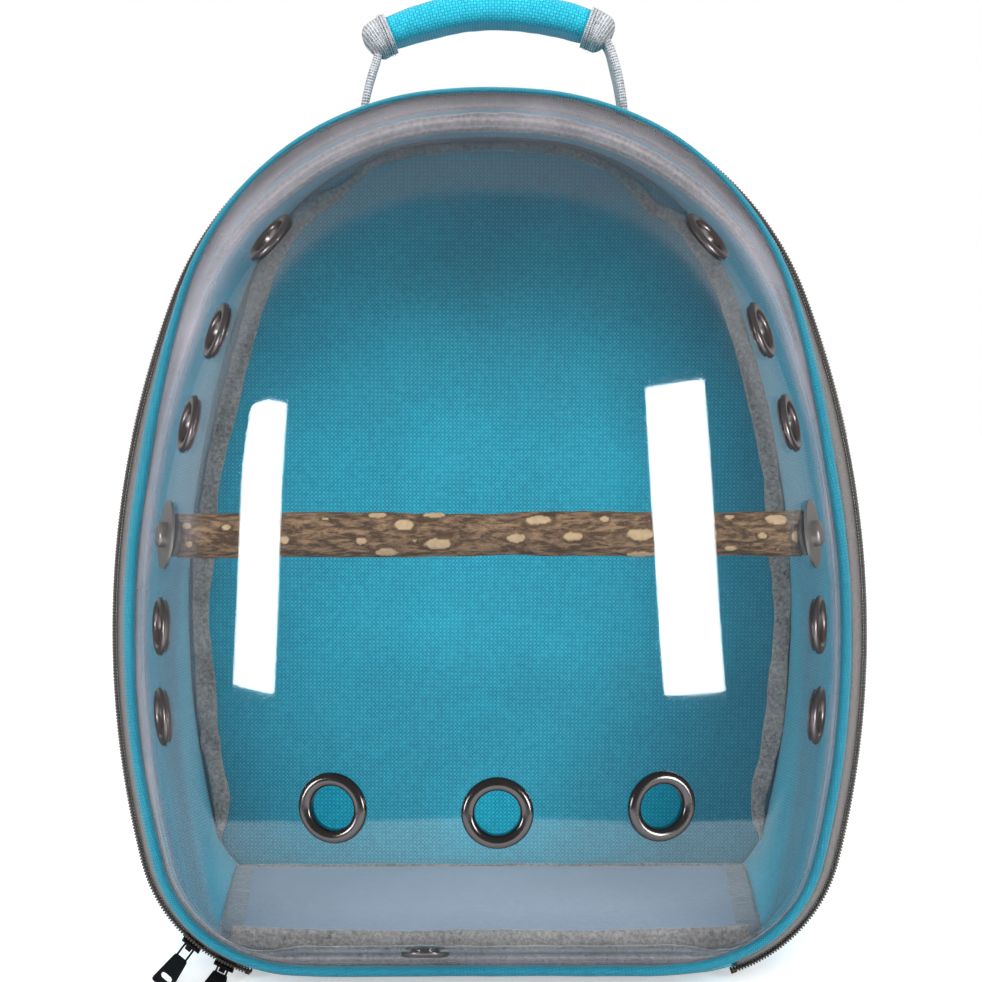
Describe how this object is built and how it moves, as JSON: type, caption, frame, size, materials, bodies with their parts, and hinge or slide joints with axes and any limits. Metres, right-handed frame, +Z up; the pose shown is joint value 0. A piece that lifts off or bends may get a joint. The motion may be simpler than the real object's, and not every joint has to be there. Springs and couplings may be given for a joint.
{
  "type": "bird travel carrier",
  "caption": "Backpack-style bird travel carrier: arched teal fabric shell with a clear domed zip-on front, metal eyelets, a wooden perch, a floor pad and a top handle.",
  "frame": {"origin": "middle of the flat base of the fabric shell", "axes": "+X to the right seen from the front, +Y to the back panel, +Z up"},
  "size_m": [0.35, 0.3068, 0.461],
  "materials": {
    "teal_fabric": "woven oxford",
    "grey_binding": "brushed tape",
    "zip_tape": "woven tape",
    "zip_coil": "satin",
    "zip_metal": "satin black",
    "board": "plain",
    "clear_plastic": "clear polished",
    "eyelet_metal": "dark nickel",
    "bark": "bark",
    "rubber": "plain",
    "pad_fabric": "smooth",
    "grey_webbing": "ribbed webbing",
    "black_plastic": "satin"
  },
  "bodies": {
    "rear_body": {"fabric_shell": "teal_fabric", "back_panel": "teal_fabric", "back_cover": "teal_fabric", "back_board": "board", "base_board": "board", "back_binding": "grey_binding", "rim_binding": "grey_binding", "rear_zip_tape": "zip_tape", "rear_zip_coil": "zip_coil", "zip_end_stops": "zip_metal", "handle_anchors": "grey_webbing", "harness_yoke": "teal_fabric", "left_shoulder_strap": "teal_fabric", "right_shoulder_strap": "teal_fabric", "left_ladder_lock": "black_plastic", "right_ladder_lock": "black_plastic", "left_strap_webbing": "grey_webbing", "right_strap_webbing": "grey_webbing", "left_strap_anchor": "teal_fabric", "right_strap_anchor": "teal_fabric"},
    "front_cover": {"clear_dome": "clear_plastic", "cover_binding": "grey_binding", "cover_piping": "teal_fabric", "cover_zip_tape": "zip_tape", "cover_zip_coil": "zip_coil", "hinge_strip": "teal_fabric", "front_eyelets": "eyelet_metal", "front_eyelet_washers": "eyelet_metal", "left_eyelets": "eyelet_metal", "left_eyelet_washers": "eyelet_metal", "right_eyelets": "eyelet_metal", "right_eyelet_washers": "eyelet_metal", "drain_eyelets": "eyelet_metal", "drain_eyelet_washers": "eyelet_metal", "perch_stick": "bark", "perch_rubber_washers": "rubber", "perch_washers": "eyelet_metal", "perch_screws": "eyelet_metal"},
    "upper_slider": {"upper_slider": "zip_metal"},
    "lower_slider": {"lower_slider": "zip_metal"},
    "upper_pull": {"upper_pull": "zip_metal"},
    "lower_pull": {"lower_pull": "zip_metal"},
    "carry_handle": {"handle_webbing": "grey_webbing", "handle_grip": "teal_fabric"},
    "floor_pad": {"floor_pad": "pad_fabric", "pad_front_binding": "grey_binding"}
  },
  "joints": [
    {"name": "cover_hinge", "type": "hinge", "parent": "rear_body", "child": "front_cover", "pos_m": [0, -0.065, 0], "axis": [1, 0, 0], "range_deg": [0, 100]},
    {"name": "upper_slider_travel", "type": "hinge", "parent": "rear_body", "child": "upper_slider", "pos_m": [-0.09121, -0.065, 0.071], "axis": [0, 1, 0], "range_deg": [0, 34]},
    {"name": "lower_slider_travel", "type": "hinge", "parent": "rear_body", "child": "lower_slider", "pos_m": [-0.09121, -0.065, 0.071], "axis": [0, 1, 0], "range_deg": [-2, 3]},
    {"name": "upper_pull_swing", "type": "hinge", "parent": "upper_slider", "child": "upper_pull", "pos_m": [-0.14133, -0.0642, 0.01334], "axis": [0.7547, 0, -0.6561], "range_deg": [-35, 95]},
    {"name": "lower_pull_swing", "type": "hinge", "parent": "lower_slider", "child": "lower_pull", "pos_m": [-0.12589, -0.0642, 0.00293], "axis": [0.891, 0, -0.454], "range_deg": [0, 110]},
    {"name": "handle_lean", "type": "hinge", "parent": "rear_body", "child": "carry_handle", "pos_m": [0, -0.029, 0.41281], "axis": [1, 0, 0], "range_deg": [-35, 35]},
    {"name": "pad_lift", "type": "slide", "parent": "rear_body", "child": "floor_pad", "axis": [0, 0, 1], "range_m": [0, 0.03]}
  ],
  "couplings": [
    {"joint": "lower_pull_swing", "follows": "cover_hinge", "ratio": 1}
  ]
}
